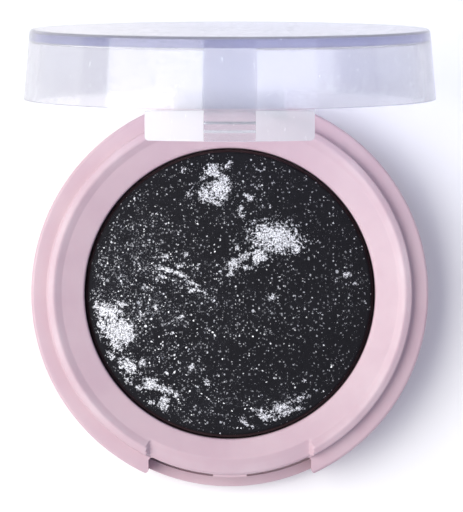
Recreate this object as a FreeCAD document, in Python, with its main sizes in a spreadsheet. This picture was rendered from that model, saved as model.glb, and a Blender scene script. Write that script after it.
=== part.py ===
import FreeCAD, Part
import math
import os
import re

import Sketcher

# Round compact for one baked eyeshadow. Millimetres and degrees, +Z up, +Y towards the hinge.
# The origin is the centre of the underside. The lid is drawn closed and then swung open.

SIZES = {
    # base shell, the lower moulding
    "seat_height": 3.0,          # parting face between base shell and deck frame
    "seat_outer_radius": 25.5,
    "foot_radius": 20.5,         # outer edge of the flat standing ring
    "belly_radius": 24.6,        # corner of the outer wall before it is rounded
    "belly_height": 0.9,
    "belly_rounding": 2.2,
    "floor_thickness": 1.4,
    "label_recess_radius": 17.0,
    "label_recess_depth": 0.15,
    "spigot_outer_radius": 22.3,
    "spigot_inner_radius": 21.5,
    "spigot_height": 4.1,
    # deck frame, the upper moulding
    "flange_radius": 26.0,
    "flange_height": 7.5,
    "flange_rounding": 0.6,
    "skirt_foot_radius": 25.85,
    "skirt_inner_radius": 24.3,
    "step_radius": 23.8,         # outer side of the raised ring
    "step_height": 8.8,
    "crest_radius": 22.95,       # highest line of the raised ring
    "crest_height": 9.1,
    "land_outer_radius": 21.95,  # the land is a shallow funnel down to the pan
    "land_outer_height": 8.65,
    "land_inner_height": 7.95,
    "land_rounding": 0.35,
    "crest_rounding": 0.6,
    "pan_opening_radius": 19.0,
    "well_wall_radius": 20.1,
    "deck_underside": 7.0,
    "ring_underside": 6.3,       # under the raised ring and the flange
    "block_top_height": 7.2,     # notch wall and hinge ears run up into the deck
    # front finger notch
    "notch_half_width": 10.65,
    "notch_wall_radius": 23.7,
    "notch_block_inner_radius": 22.4,
    "notch_block_outer_radius": 24.9,
    "notch_block_half_width": 12.2,
    "notch_crest_rounding": 0.3,
    "ramp_inner_radius": 21.6,
    "ramp_edge_height": 8.05,
    "latch_boss_reach": 0.3,
    "latch_boss_half_width": 2.2,
    "latch_boss_bottom": 6.5,
    "latch_boss_top": 7.6,
    "cutter_radius": 30.0,       # anything outside the compact
    "cutter_height": 12.0,
    # hinge
    "hinge_y": 23.0,
    "hinge_height": 4.0,
    "pin_radius": 0.5,
    "pin_half_length": 10.4,
    "pin_clearance": 0.05,
    "ear_half_width": 11.6,
    "ear_inner_radius": 20.0,
    "ear_outer_radius": 25.7,
    "gap_half_width": 7.6,       # rear gap in the base for the knuckle
    "gap_inner_y": 20.8,
    "gap_roof_height": 5.95,     # the raised ring passes over the gap at this height
    "knuckle_half_width": 7.3,
    "knuckle_radius": 1.6,
    "heel_reach": 1.7,           # lowest corner of the knuckle web, from the pin
    # lid
    "opening_angle": 84.9,
    "lid_radius": 26.0,
    "lid_plate_radius": 25.25,
    "lid_rim_height": 7.85,
    "lid_depth": 8.8,
    "lid_plate_thickness": 1.5,
    "lid_wall": 1.4,
    "lid_edge_rounding": 0.45,
    "lid_inner_rounding": 0.3,
    "tab_half_width": 10.3,
    "tab_drop": 3.8,
    "tab_corner_rounding": 0.5,
    "strip_thickness": 0.35,
    "strip_half_width": 3.25,
    "rib_reach": 0.3,
    "rib_half_width": 3.2,
    "rib_drop": 2.15,            # centre of the latch rib below the rim
    "rib_half_height": 0.7,
    # fired clay dish, powder, adhesive and label
    "pad_radius": 16.0,
    "pad_thickness": 0.2,
    "dish_radius": 18.8,
    "dish_wall": 0.5,
    "dish_floor": 3.6,
    "dish_foot_rounding": 0.6,
    "dish_rim_height": 6.6,
    "cake_radius": 18.5,
    "cake_shoulder_height": 7.5,
    "cake_top_height": 9.7,
    "cake_edge_rounding": 0.4,
    "label_radius": 16.8,
    "label_thickness": 0.1,
}

FRONT = -1
REAR = 1

doc = FreeCAD.newDocument("compact")
sheet = doc.addObject("Spreadsheet::Sheet", "Sizes")
for row, (alias, number) in enumerate(SIZES.items(), start=1):
    sheet.set(f"A{row}", alias)
    sheet.set(f"B{row}", str(number))
    sheet.setAlias(f"B{row}", alias)
doc.recompute()


def size(text):
    """Value of an expression in the sheet's aliases."""
    return float(sheet.evalExpression(text))


def in_sheet(text):
    """The same expression, written for an object outside the sheet."""
    return re.sub(r"[a-z_]+", lambda m: ("Sizes." if m[0] in SIZES else "") + m[0], text)


def bind(thing, path, text):
    thing.setExpression(path, in_sheet(text))


def new_body(name):
    body = doc.addObject("PartDesign::Body", name)
    body.Label = name
    return body


def new_sketch(body, name, role, offset=None):
    sketch = body.newObject("Sketcher::SketchObject", name)
    plane = next(f for f in body.Origin.OriginFeatures if f.Role == role)
    sketch.AttachmentSupport = [(plane, "")]
    sketch.MapMode = "FlatFace"
    if offset:
        bind(sketch, "AttachmentOffset.Base.z", offset)
    return sketch


def fix(sketch, kind, *where, text):
    """Adds a dimension and binds it to the sheet."""
    index = sketch.addConstraint(Sketcher.Constraint(kind, *where, size(text)))
    bind(sketch, f"Constraints[{index}]", text)


def outline(sketch, corners):
    """Closed outline of straight lines through corners given as pairs of expressions."""
    points = [FreeCAD.Vector(size(x), size(y), 0) for x, y in corners]
    ends = points[1:] + points[:1]
    sketch.addGeometry([Part.LineSegment(a, b) for a, b in zip(points, ends)], False)
    for i, (x, y) in enumerate(corners):
        following = (i + 1) % len(corners)
        sketch.addConstraint(Sketcher.Constraint("Coincident", i, 2, following, 1))
        place_point(sketch, i, 1, x, y)


def place_point(sketch, line, end, x, y):
    """Ties one point of the sketch to its two coordinates."""
    for kind, axis, text in (("DistanceX", -2, x), ("DistanceY", -1, y)):
        if abs(size(text)) < 1e-9:
            sketch.addConstraint(Sketcher.Constraint("PointOnObject", line, end, axis))
        else:
            fix(sketch, kind, -1, 1, line, end, text=text)


def rectangle(sketch, half_width, near, far):
    """Rectangle centred on the sketch's vertical axis, from one height to another."""
    outline(sketch, [
        (f"-1 * ({half_width})", near),
        (f"1 * ({half_width})", near),
        (f"1 * ({half_width})", far),
        (f"-1 * ({half_width})", far),
    ])


def ring_sector(sketch, inner, outer, half_width, side):
    """Piece of a ring with two sides parallel to Y; side is 1 at the rear and -1 at the front."""
    half = size(half_width)
    reach = {radius: side * math.sqrt(size(radius) ** 2 - half**2) for radius in (inner, outer)}
    centre = FreeCAD.Vector(0, 0, 0)
    up = FreeCAD.Vector(0, 0, 1)
    middle = side * math.pi / 2
    for radius in (inner, outer):
        spread = math.asin(half / size(radius))
        circle = Part.Circle(centre, up, size(radius))
        sketch.addGeometry(Part.ArcOfCircle(circle, middle - spread, middle + spread), False)
    # At the rear an arc runs from right to left, at the front from left to right.
    for start, x in ((1, side * half), (2, -side * half)):
        a = FreeCAD.Vector(x, reach[inner], 0)
        b = FreeCAD.Vector(x, reach[outer], 0)
        line = sketch.addGeometry(Part.LineSegment(a, b), False)
        sketch.addConstraint(Sketcher.Constraint("Coincident", line, 1, 0, start))
        sketch.addConstraint(Sketcher.Constraint("Coincident", line, 2, 1, start))
        sketch.addConstraint(Sketcher.Constraint("Vertical", line))
        fix(sketch, "DistanceX", -1, 1, line, 1, text=f"{'' if x > 0 else '-'}1 * {half_width}")
    for arc, radius in ((0, inner), (1, outer)):
        sketch.addConstraint(Sketcher.Constraint("Coincident", arc, 3, -1, 1))
        fix(sketch, "Radius", arc, text=radius)


def circle_at(sketch, x, y, radius):
    centre = FreeCAD.Vector(size(x), size(y), 0)
    sketch.addGeometry(Part.Circle(centre, FreeCAD.Vector(0, 0, 1), size(radius)), False)
    place_point(sketch, 0, 3, x, y)
    fix(sketch, "Radius", 0, text=radius)


def solid_volume(body):
    return body.Shape.Volume if body.Shape and not body.Shape.isNull() else 0.0


def must_change(body, before, adds):
    """Stops the script when a feature has left the body as it was."""
    doc.recompute()
    change = body.Shape.Volume - before
    if (change > 1e-6) != adds or abs(change) < 1e-6:
        raise RuntimeError(f"{body.Label}: {body.Tip.Name} changed the volume by {change:.6f}")


def extrude(body, kind, name, sketch, length, reverse=False, symmetric=False):
    """Pad or Pocket of one sketch."""
    before = solid_volume(body)
    feature = body.newObject("PartDesign::" + kind, name)
    feature.Profile = sketch
    feature.Reversed = reverse
    feature.SideType = "Symmetric" if symmetric else "One side"
    bind(feature, "Length", length)
    must_change(body, before, kind == "Pad")
    return feature


def turn(body, kind, name, sketch, angle="360"):
    """Revolution or Groove of one sketch about Z, centred on the sketch's plane."""
    before = solid_volume(body)
    feature = body.newObject("PartDesign::" + kind, name)
    feature.Profile = sketch
    feature.ReferenceAxis = (sketch, ["V_Axis"])
    feature.Midplane = True
    bind(feature, "Angle", angle)
    must_change(body, before, kind == "Revolution")
    return feature


def edges_where(shape, chosen):
    """Numbers of the edges whose middle point passes a test."""
    numbers = []
    for i, edge in enumerate(shape.Edges, start=1):
        middle = edge.valueAt((edge.FirstParameter + edge.LastParameter) / 2)
        if chosen(middle):
            numbers.append(i)
    if not numbers:
        raise RuntimeError("no edge found to round")
    return numbers


def round_off(body, name, radius, chosen):
    """Fillet on every edge of the body whose middle point passes the test."""
    base = body.Tip
    fillet = body.newObject("PartDesign::Fillet", name)
    fillet.Base = (base, [f"Edge{i}" for i in edges_where(base.Shape, chosen)])
    bind(fillet, "Radius", radius)
    doc.recompute()
    return fillet


def on_ring(radius, height):
    """Test for a point on a level circle about Z."""
    wanted = (size(radius), size(height))
    return lambda p: math.dist((math.hypot(p.x, p.y), p.z), wanted) < 0.01


def make_base_shell():
    body = new_body("base_shell")
    profile = new_sketch(body, "shell_profile", "XZ_Plane")
    outline(profile, [
        ("0", "label_recess_depth"),
        ("label_recess_radius", "label_recess_depth"),
        ("label_recess_radius", "0"),
        ("foot_radius", "0"),
        ("belly_radius", "belly_height"),
        ("seat_outer_radius", "seat_height"),
        ("spigot_outer_radius", "seat_height"),
        ("spigot_outer_radius", "spigot_height"),
        ("spigot_inner_radius", "spigot_height"),
        ("spigot_inner_radius", "floor_thickness"),
        ("0", "floor_thickness"),
    ])
    turn(body, "Revolution", "shell_turning", profile)
    round_off(body, "belly_fillet", "belly_rounding", on_ring("belly_radius", "belly_height"))
    # The spigot stops short of the hinge ears, which fill the same corner of the deck frame.
    ears = new_sketch(body, "ear_room_plan", "XY_Plane", "seat_height")
    rectangle(ears, "ear_half_width + 0.4", "pan_opening_radius - 1.7", "cutter_radius")
    extrude(body, "Pocket", "ear_room", ears, "cutter_height", reverse=True)
    gap = new_sketch(body, "shell_gap_plan", "XY_Plane")
    rectangle(gap, "gap_half_width", "gap_inner_y", "cutter_radius")
    extrude(body, "Pocket", "shell_gap", gap, "cutter_height", reverse=True)
    return body


def make_deck_frame():
    body = new_body("deck_ring")
    profile = new_sketch(body, "deck_profile", "XZ_Plane")
    outline(profile, [
        ("skirt_foot_radius", "seat_height"),
        ("flange_radius", "flange_height"),
        ("step_radius", "flange_height"),
        ("step_radius", "step_height"),
        ("crest_radius", "crest_height"),
        ("land_outer_radius", "land_outer_height"),
        ("pan_opening_radius", "land_inner_height"),
        ("pan_opening_radius", "floor_thickness"),
        ("well_wall_radius", "floor_thickness"),
        ("well_wall_radius", "deck_underside"),
        ("land_outer_radius", "deck_underside"),
        ("spigot_outer_radius", "ring_underside"),
        ("skirt_inner_radius", "ring_underside"),
        ("skirt_inner_radius", "seat_height"),
    ])
    turn(body, "Revolution", "deck_turning", profile)
    round_off(body, "crest_fillet", "crest_rounding", on_ring("crest_radius", "crest_height"))
    round_off(body, "flange_fillet", "flange_rounding", on_ring("flange_radius", "flange_height"))
    round_off(body, "land_fillet", "land_rounding", on_ring("pan_opening_radius", "land_inner_height"))
    add_front_notch(body)
    add_hinge_ears(body)
    return round_notch_crest(cut_thumb_ramp(body))


def add_front_notch(body):
    """Recess for the lid's tab: a wall behind it, the opening itself and the latch boss."""
    block = new_sketch(body, "notch_block_plan", "XY_Plane", "seat_height")
    ring_sector(block, "notch_block_inner_radius", "notch_block_outer_radius",
                "notch_block_half_width", FRONT)
    extrude(body, "Pad", "notch_block", block, "block_top_height - seat_height")
    notch = new_sketch(body, "notch_plan", "XY_Plane")
    ring_sector(notch, "notch_wall_radius", "cutter_radius", "notch_half_width", FRONT)
    extrude(body, "Pocket", "notch", notch, "cutter_height", reverse=True)
    boss = new_sketch(body, "latch_boss_profile", "YZ_Plane")
    outline(boss, [
        ("0.3 - notch_wall_radius", "latch_boss_bottom"),
        ("-1 * notch_wall_radius", "latch_boss_bottom"),
        ("-1 * notch_wall_radius - latch_boss_reach", "latch_boss_bottom + latch_boss_reach"),
        ("-1 * notch_wall_radius - latch_boss_reach", "latch_boss_top"),
        ("0.3 - notch_wall_radius", "latch_boss_top"),
    ])
    turn(body, "Revolution", "latch_boss", boss,
         "2 * asin(latch_boss_half_width / notch_wall_radius)")


def add_hinge_ears(body):
    """Solid corners that hold the pin, and the gap between them for the lid's knuckle."""
    ears = new_sketch(body, "ears_plan", "XY_Plane", "seat_height")
    ring_sector(ears, "ear_inner_radius", "ear_outer_radius", "ear_half_width", REAR)
    extrude(body, "Pad", "ears", ears, "block_top_height - seat_height")
    gap = new_sketch(body, "gap_plan", "XY_Plane")
    rectangle(gap, "gap_half_width", "gap_inner_y", "cutter_radius")
    extrude(body, "Pocket", "gap", gap, "gap_roof_height", reverse=True)
    slot = new_sketch(body, "web_slot_plan", "XY_Plane", "ring_underside - 1")
    ring_sector(slot, "step_radius", "cutter_radius", "gap_half_width", REAR)
    extrude(body, "Pocket", "web_slot", slot, "cutter_height", reverse=True)
    bore = new_sketch(body, "pin_bore_section", "YZ_Plane")
    circle_at(bore, "hinge_y", "hinge_height", "pin_radius")
    extrude(body, "Pocket", "pin_bore", bore, "2 * pin_half_length", symmetric=True)


def cut_thumb_ramp(body):
    """Removes the raised ring over the notch, down to a gentle slope towards its edge."""
    fall = "(land_outer_height - land_inner_height) / (land_outer_radius - pan_opening_radius)"
    start = f"(land_outer_height - (land_outer_radius - ramp_inner_radius) * {fall})"
    slope = f"({start} - ramp_edge_height) / (notch_wall_radius - ramp_inner_radius)"
    ring = new_body("ramp_ring")
    profile = new_sketch(ring, "ramp_profile", "XZ_Plane")
    outline(profile, [
        ("ramp_inner_radius", start),
        ("flange_radius", f"{start} - (flange_radius - ramp_inner_radius) * {slope}"),
        ("flange_radius", "cutter_height"),
        ("ramp_inner_radius", "cutter_height"),
    ])
    turn(ring, "Revolution", "ramp_turning", profile)
    box = doc.addObject("Part::Box", "ramp_width")
    bind(box, "Length", "2 * notch_half_width")
    bind(box, "Width", "cutter_radius")
    bind(box, "Height", "cutter_height")
    bind(box, "Placement.Base.x", "-1 * notch_half_width")
    bind(box, "Placement.Base.y", "-1 * cutter_radius")
    ramp = doc.addObject("Part::Common", "ramp")
    ramp.Base, ramp.Tool = ring, box
    deck = doc.addObject("Part::Cut", "deck_cut")
    deck.Base, deck.Tool = body, ramp
    doc.recompute()
    return deck


def round_notch_crest(deck):
    crest = on_ring("notch_wall_radius", "ramp_edge_height")
    rounded = doc.addObject("Part::Fillet", "deck_frame")
    rounded.Base = deck
    radius = size("notch_crest_rounding")
    rounded.Edges = [(i, radius, radius) for i in edges_where(deck.Shape, crest)]
    doc.recompute()
    return rounded


def make_lid():
    """Lid drawn in its closed place, then swung about the pin to where it stands open."""
    body = new_body("lid")
    top = "lid_rim_height + lid_depth"
    ceiling = f"{top} - lid_plate_thickness"
    profile = new_sketch(body, "lid_profile", "XZ_Plane")
    outline(profile, [
        ("0", ceiling),
        ("lid_plate_radius - lid_wall", ceiling),
        ("lid_radius - lid_wall", "lid_rim_height"),
        ("lid_radius", "lid_rim_height"),
        ("lid_plate_radius", top),
        ("0", top),
    ])
    turn(body, "Revolution", "lid_turning", profile)
    round_off(body, "plate_edge", "lid_edge_rounding", on_ring("lid_plate_radius", top))
    round_off(body, "ceiling_edge", "lid_inner_rounding",
              on_ring("lid_plate_radius - lid_wall", ceiling))
    add_front_tab(body, ceiling)
    add_knuckle(body)
    hinge = FreeCAD.Vector(0, size("hinge_y"), size("hinge_height"))
    swing = FreeCAD.Rotation(FreeCAD.Vector(1, 0, 0), -size("opening_angle"))
    body.Placement = FreeCAD.Placement(FreeCAD.Vector(0, 0, 0), swing, hinge)
    doc.recompute()
    return body


def add_front_tab(body, ceiling):
    """Tab that drops into the notch, its latch rib, and the thicker strip above them."""
    inside = "lid_radius - lid_wall"
    tab = new_sketch(body, "tab_plan", "XY_Plane", "lid_rim_height")
    ring_sector(tab, inside, "lid_radius", "tab_half_width", FRONT)
    extrude(body, "Pad", "tab", tab, "tab_drop", reverse=True)
    corner = (size("tab_half_width"), size("lid_rim_height - tab_drop"))
    round_off(body, "tab_corners", "tab_corner_rounding",
              lambda p: math.dist((abs(p.x), p.z), corner) < 0.01)
    strip = new_sketch(body, "strip_profile", "YZ_Plane")
    outline(strip, [
        (f"-1 * ({inside} + 0.3)", "lid_rim_height"),
        (f"-1 * ({inside} - strip_thickness)", "lid_rim_height"),
        ("-1 * (lid_plate_radius - lid_wall - strip_thickness)", ceiling),
        ("-1 * (lid_plate_radius - lid_wall + 0.3)", ceiling),
    ])
    turn(body, "Revolution", "strip", strip, f"2 * asin(strip_half_width / ({inside}))")
    middle = "lid_rim_height - rib_drop"
    rib = new_sketch(body, "rib_profile", "YZ_Plane")
    outline(rib, [
        (f"-1 * ({inside} + 0.3)", f"{middle} - rib_half_height"),
        (f"-1 * ({inside})", f"{middle} - rib_half_height"),
        (f"-1 * ({inside} - rib_reach)", f"{middle} - rib_half_height / 2"),
        (f"-1 * ({inside} - rib_reach)", f"{middle} + rib_half_height / 2"),
        (f"-1 * ({inside})", f"{middle} + rib_half_height"),
        (f"-1 * ({inside} + 0.3)", f"{middle} + rib_half_height"),
    ])
    turn(body, "Revolution", "latch_rib", rib, f"2 * asin(rib_half_width / ({inside}))")


def add_knuckle(body):
    """Web from the rear wall down to a barrel round the pin, trimmed to the lid's outline."""
    web = new_sketch(body, "web_section", "YZ_Plane")
    outline(web, [
        ("hinge_y + knuckle_radius", "lid_rim_height"),
        ("lid_radius", "lid_rim_height"),
        ("lid_radius", "hinge_height - 0.4"),
        ("hinge_y + heel_reach", "hinge_height - knuckle_radius"),
        ("hinge_y", "hinge_height - knuckle_radius"),
        ("hinge_y", "hinge_height"),
        ("hinge_y + 1.05", "hinge_height + 1.3"),
    ])
    extrude(body, "Pad", "web", web, "2 * knuckle_half_width", symmetric=True)
    barrel = new_sketch(body, "barrel_section", "YZ_Plane")
    circle_at(barrel, "hinge_y", "hinge_height", "knuckle_radius")
    extrude(body, "Pad", "barrel", barrel, "2 * knuckle_half_width", symmetric=True)
    trim = new_sketch(body, "web_trim_profile", "XZ_Plane")
    outline(trim, [
        ("lid_radius", "0"),
        ("cutter_radius", "0"),
        ("cutter_radius", "lid_rim_height"),
        ("lid_radius", "lid_rim_height"),
    ])
    turn(body, "Groove", "web_trim", trim)
    bore = new_sketch(body, "knuckle_bore_section", "YZ_Plane")
    circle_at(bore, "hinge_y", "hinge_height", "pin_radius + pin_clearance")
    extrude(body, "Pocket", "knuckle_bore", bore, "2 * cutter_radius", symmetric=True)


def make_baking_dish():
    """Thick clay disc with a low rim, on which the powder is baked."""
    body = new_body("baking_dish")
    floor = "floor_thickness + pad_thickness"
    profile = new_sketch(body, "dish_profile", "XZ_Plane")
    outline(profile, [
        ("0", floor),
        ("dish_radius", floor),
        ("dish_radius", "dish_rim_height"),
        ("dish_radius - dish_wall", "dish_rim_height"),
        ("dish_radius - dish_wall", f"{floor} + dish_floor"),
        ("0", f"{floor} + dish_floor"),
    ])
    turn(body, "Revolution", "dish_turning", profile)
    round_off(body, "dish_foot", "dish_foot_rounding", on_ring("dish_radius", floor))
    return body


def make_powder_cake():
    """Powder that fills the dish and stands above it as a shallow dome."""
    body = new_body("powder_cake")
    bottom = "floor_thickness + pad_thickness + dish_floor"
    rise = "(cake_top_height - cake_shoulder_height)"
    curve = f"((cake_radius * cake_radius + {rise} * {rise}) / (2 * {rise}))"
    sketch = new_sketch(body, "cake_profile", "XZ_Plane")
    corners = [
        ("0", "cake_top_height"),
        ("0", bottom),
        ("dish_radius - dish_wall", bottom),
        ("dish_radius - dish_wall", "dish_rim_height"),
        ("cake_radius", "dish_rim_height"),
        ("cake_radius", "cake_shoulder_height"),
    ]
    points = [FreeCAD.Vector(size(x), size(y), 0) for x, y in corners]
    sketch.addGeometry([Part.LineSegment(a, b) for a, b in zip(points, points[1:])], False)
    for i, (x, y) in enumerate(corners[:-1]):
        place_point(sketch, i, 1, x, y)
        if i:
            sketch.addConstraint(Sketcher.Constraint("Coincident", i - 1, 2, i, 1))
    place_point(sketch, len(corners) - 2, 2, *corners[-1])
    radius = size(curve)
    centre = FreeCAD.Vector(0, size("cake_top_height") - radius, 0)
    start = math.asin((size("cake_shoulder_height") - centre.y) / radius)
    circle = Part.Circle(centre, FreeCAD.Vector(0, 0, 1), radius)
    dome = sketch.addGeometry(Part.ArcOfCircle(circle, start, math.pi / 2), False)
    sketch.addConstraint(Sketcher.Constraint("Coincident", dome, 1, len(corners) - 2, 2))
    sketch.addConstraint(Sketcher.Constraint("Coincident", dome, 2, 0, 1))
    sketch.addConstraint(Sketcher.Constraint("PointOnObject", dome, 3, -2))
    turn(body, "Revolution", "cake_turning", sketch)
    round_off(body, "cake_edge", "cake_edge_rounding", on_ring("cake_radius", "cake_shoulder_height"))
    return body


def make_disc(name, radius, thickness, bottom):
    disc = doc.addObject("Part::Cylinder", name)
    disc.Label = name
    bind(disc, "Radius", radius)
    bind(disc, "Height", thickness)
    bind(disc, "Placement.Base.z", bottom)
    return disc


def make_hinge_pin():
    pin = doc.addObject("Part::Cylinder", "hinge_pin")
    bind(pin, "Radius", "pin_radius")
    bind(pin, "Height", "2 * pin_half_length")
    pin.Placement.Rotation = FreeCAD.Rotation(FreeCAD.Vector(0, 1, 0), 90)
    bind(pin, "Placement.Base.x", "-1 * pin_half_length")
    bind(pin, "Placement.Base.y", "hinge_y")
    bind(pin, "Placement.Base.z", "hinge_height")
    return pin


def check(pieces):
    """Stops before anything is written if a feature or a finished piece has failed."""
    doc.recompute()
    failed = [o.Name for o in doc.Objects if "Invalid" in o.State or "Error" in o.State]
    if failed:
        raise RuntimeError(f"failed objects: {failed}")
    for piece in pieces:
        shape = piece.Shape
        if shape.isNull() or not shape.isValid() or len(shape.Solids) != 1:
            raise RuntimeError(f"{piece.Label} isn't one valid solid")


pieces = [
    make_base_shell(),
    make_deck_frame(),
    make_baking_dish(),
    make_powder_cake(),
    make_disc("adhesive_pad", "pad_radius", "pad_thickness", "floor_thickness"),
    make_disc("underside_label", "label_radius", "label_thickness",
              "label_recess_depth - label_thickness"),
    make_hinge_pin(),
    make_lid(),
]
check(pieces)
os.makedirs("parts", exist_ok=True)
for piece in pieces:
    piece.Shape.exportStep(f"parts/{piece.Label}.step")
    box = piece.Shape.optimalBoundingBox()
    print(f"{piece.Label}: {piece.Shape.Volume:.1f} mm3, z {box.ZMin:.2f} to {box.ZMax:.2f}")
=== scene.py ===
import math

import bpy
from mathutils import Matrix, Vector


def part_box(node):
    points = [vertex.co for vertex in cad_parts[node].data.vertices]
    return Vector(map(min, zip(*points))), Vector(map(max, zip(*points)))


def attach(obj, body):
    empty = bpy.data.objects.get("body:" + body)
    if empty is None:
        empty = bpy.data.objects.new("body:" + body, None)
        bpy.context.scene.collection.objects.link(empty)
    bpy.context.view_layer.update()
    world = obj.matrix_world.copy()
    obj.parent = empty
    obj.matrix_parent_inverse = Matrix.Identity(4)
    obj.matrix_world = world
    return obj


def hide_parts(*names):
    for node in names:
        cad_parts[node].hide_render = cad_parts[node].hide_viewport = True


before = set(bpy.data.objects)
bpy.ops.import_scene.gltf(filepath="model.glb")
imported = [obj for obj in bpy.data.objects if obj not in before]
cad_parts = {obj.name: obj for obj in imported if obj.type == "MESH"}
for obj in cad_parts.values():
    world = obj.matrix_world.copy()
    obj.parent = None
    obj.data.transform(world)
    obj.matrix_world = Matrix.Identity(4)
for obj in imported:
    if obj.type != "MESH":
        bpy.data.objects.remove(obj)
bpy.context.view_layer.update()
print("frame loaded:", sorted(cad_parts))

mm = 0.001


# Small helpers for node trees.

def startMaterial(name):
    material = bpy.data.materials.new(name)
    material.use_nodes = True
    material.node_tree.nodes.clear()
    return material, material.node_tree


def addNode(tree, kind, feeds=None, **settings):
    # feeds go to the inputs by name or number: a socket is linked, anything else is set as a value
    node = tree.nodes.new("ShaderNode" + kind)
    for name, value in settings.items():
        setattr(node, name, value)
    for name, value in (feeds or {}).items():
        if isinstance(value, bpy.types.NodeSocket):
            tree.links.new(value, node.inputs[name])
        else:
            node.inputs[name].default_value = value
    return node


def calc(tree, operation, first, second=0.0, third=0.0, clamp=False):
    feeds = {0: first, 1: second}
    if operation in ("MULTIPLY_ADD", "WRAP", "COMPARE"):
        feeds[2] = third
    return addNode(tree, "Math", feeds, operation=operation, use_clamp=clamp).outputs[0]


def fit(tree, value, low, high, newLow=0.0, newHigh=1.0):
    # smooth step from newLow to newHigh while value goes from low to high
    feeds = {"Value": value, "From Min": low, "From Max": high, "To Min": newLow, "To Max": newHigh}
    return addNode(tree, "MapRange", feeds, interpolation_type="SMOOTHSTEP").outputs[0]


def vectorCalc(tree, operation, first, second=None):
    feeds = {0: first}
    if second is not None:
        feeds["Scale" if operation == "SCALE" else 1] = second
    return addNode(tree, "VectorMath", feeds, operation=operation).outputs[0]


def mixColours(tree, share, first, second):
    node = addNode(tree, "Mix", data_type="RGBA", blend_type="MIX")
    for number, value in ((0, share), (6, first), (7, second)):
        if isinstance(value, bpy.types.NodeSocket):
            tree.links.new(value, node.inputs[number])
        else:
            node.inputs[number].default_value = value if number == 0 else (*value[:3], 1.0)
    return node.outputs[2]


def objectPlace(tree):
    return addNode(tree, "TexCoord").outputs["Object"]


def moved(tree, place, rotation=(0, 0, 0), scale=(1, 1, 1)):
    feeds = {0: place, 2: rotation, 3: scale}
    return addNode(tree, "Mapping", feeds, vector_type="POINT").outputs[0]


def cloud(tree, place, size, detail=2.0, roughness=0.5, distortion=0.0):
    # noise whose lumps are about size across
    feeds = {"Vector": place, "Scale": 1.0 / size, "Detail": detail,
             "Roughness": roughness, "Distortion": distortion}
    return addNode(tree, "TexNoise", feeds).outputs


def cells(tree, place, size):
    feeds = {"Vector": place, "Scale": 1.0 / size}
    return addNode(tree, "TexVoronoi", feeds).outputs


def bumps(tree, height, distance, strength=1.0, normal=None):
    feeds = {"Height": height, "Distance": distance, "Strength": strength}
    if normal is not None:
        feeds["Normal"] = normal
    return addNode(tree, "Bump", feeds).outputs[0]


def finishMaterial(tree, shader):
    addNode(tree, "OutputMaterial", {"Surface": shader})


def radiusFromAxis(tree, place):
    # distance of a point from the compact's upright axis
    parts = addNode(tree, "SeparateXYZ", {0: place}).outputs
    flat = addNode(tree, "CombineXYZ", {0: parts[0], 1: parts[1], 2: 0.0}).outputs[0]
    return addNode(tree, "VectorMath", {0: flat}, operation="LENGTH").outputs["Value"]


def hairlines(tree, place, size, stretch, turn):
    # fine scratches: noise drawn out along one direction, of which only the thin peaks are kept
    drawn = moved(tree, place, rotation=turn, scale=(1.0, stretch, 1.0))
    line = cloud(tree, drawn, size, detail=1.0)[0]
    off = calc(tree, "ABSOLUTE", calc(tree, "SUBTRACT", line, 0.5))
    return fit(tree, off, 0.0, 0.012, 1.0, 0.0)


def scratchMarks(tree, place, marks):
    first, second = [hairlines(tree, place, *mark) for mark in marks]
    return calc(tree, "MAXIMUM", first, second)


# Pink plastic of the two mouldings.

pinkPlastic = {
    "colour": (0.615, 0.458, 0.498),
    "deepColour": (0.58, 0.415, 0.465),
    "paleColour": (0.70, 0.60, 0.635),
    "mottleSize": 7 * mm,
    "grainSize": 0.7 * mm,
    "roughness": (0.30, 0.44),
    "grainHeight": 0.004 * mm,
    "scratches": [(0.9 * mm, 0.05, (0.0, 0.0, 0.6)), (1.3 * mm, 0.04, (0.0, 0.4, -0.9))],
    "scratchHeight": 0.0015 * mm,
    "worn": (22.6 * mm, 23.4 * mm),    # radii of the ring that the lid and fingers rub
    "underSkin": 0.12,
}


def makePinkPlastic(name, look, shade):
    material, tree = startMaterial(name)
    place = objectPlace(tree)
    mottle = cloud(tree, place, look["mottleSize"], detail=3.0)[0]
    grain = cloud(tree, place, look["grainSize"], detail=2.0)[0]
    colour = [c * shade for c in look["colour"]]
    deep = [c * shade for c in look["deepColour"]]
    base = mixColours(tree, fit(tree, mottle, 0.3, 0.7), deep, colour)
    inner, outer = look["worn"]
    reach = radiusFromAxis(tree, place)
    band = calc(tree, "MULTIPLY", fit(tree, reach, inner - 0.4 * mm, inner),
                fit(tree, reach, outer, outer + 0.4 * mm, 1.0, 0.0))
    rubbed = calc(tree, "MULTIPLY", band, fit(tree, mottle, 0.35, 0.75, 0.0, 0.35))
    base = mixColours(tree, rubbed, base, look["paleColour"])
    scratches = scratchMarks(tree, place, look["scratches"])
    scratches = calc(tree, "MULTIPLY", scratches, fit(tree, mottle, 0.5, 0.8))
    low, high = look["roughness"]
    rough = fit(tree, grain, 0.25, 0.75, low, high)
    rough = calc(tree, "MULTIPLY_ADD", scratches, 0.12, rough, clamp=True)
    normal = bumps(tree, grain, look["grainHeight"])
    normal = bumps(tree, calc(tree, "SUBTRACT", 1.0, scratches), look["scratchHeight"], 1.0, normal)
    shader = addNode(tree, "BsdfPrincipled", {
        "Base Color": base,
        "Roughness": rough,
        "IOR": 1.49,
        "Subsurface Weight": look["underSkin"],
        "Subsurface Radius": (1.0, 0.5, 0.55),
        "Subsurface Scale": 0.6 * mm,
        "Normal": normal,
    })
    finishMaterial(tree, shader.outputs[0])
    return material


# Clear plastic of the lid.

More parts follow.
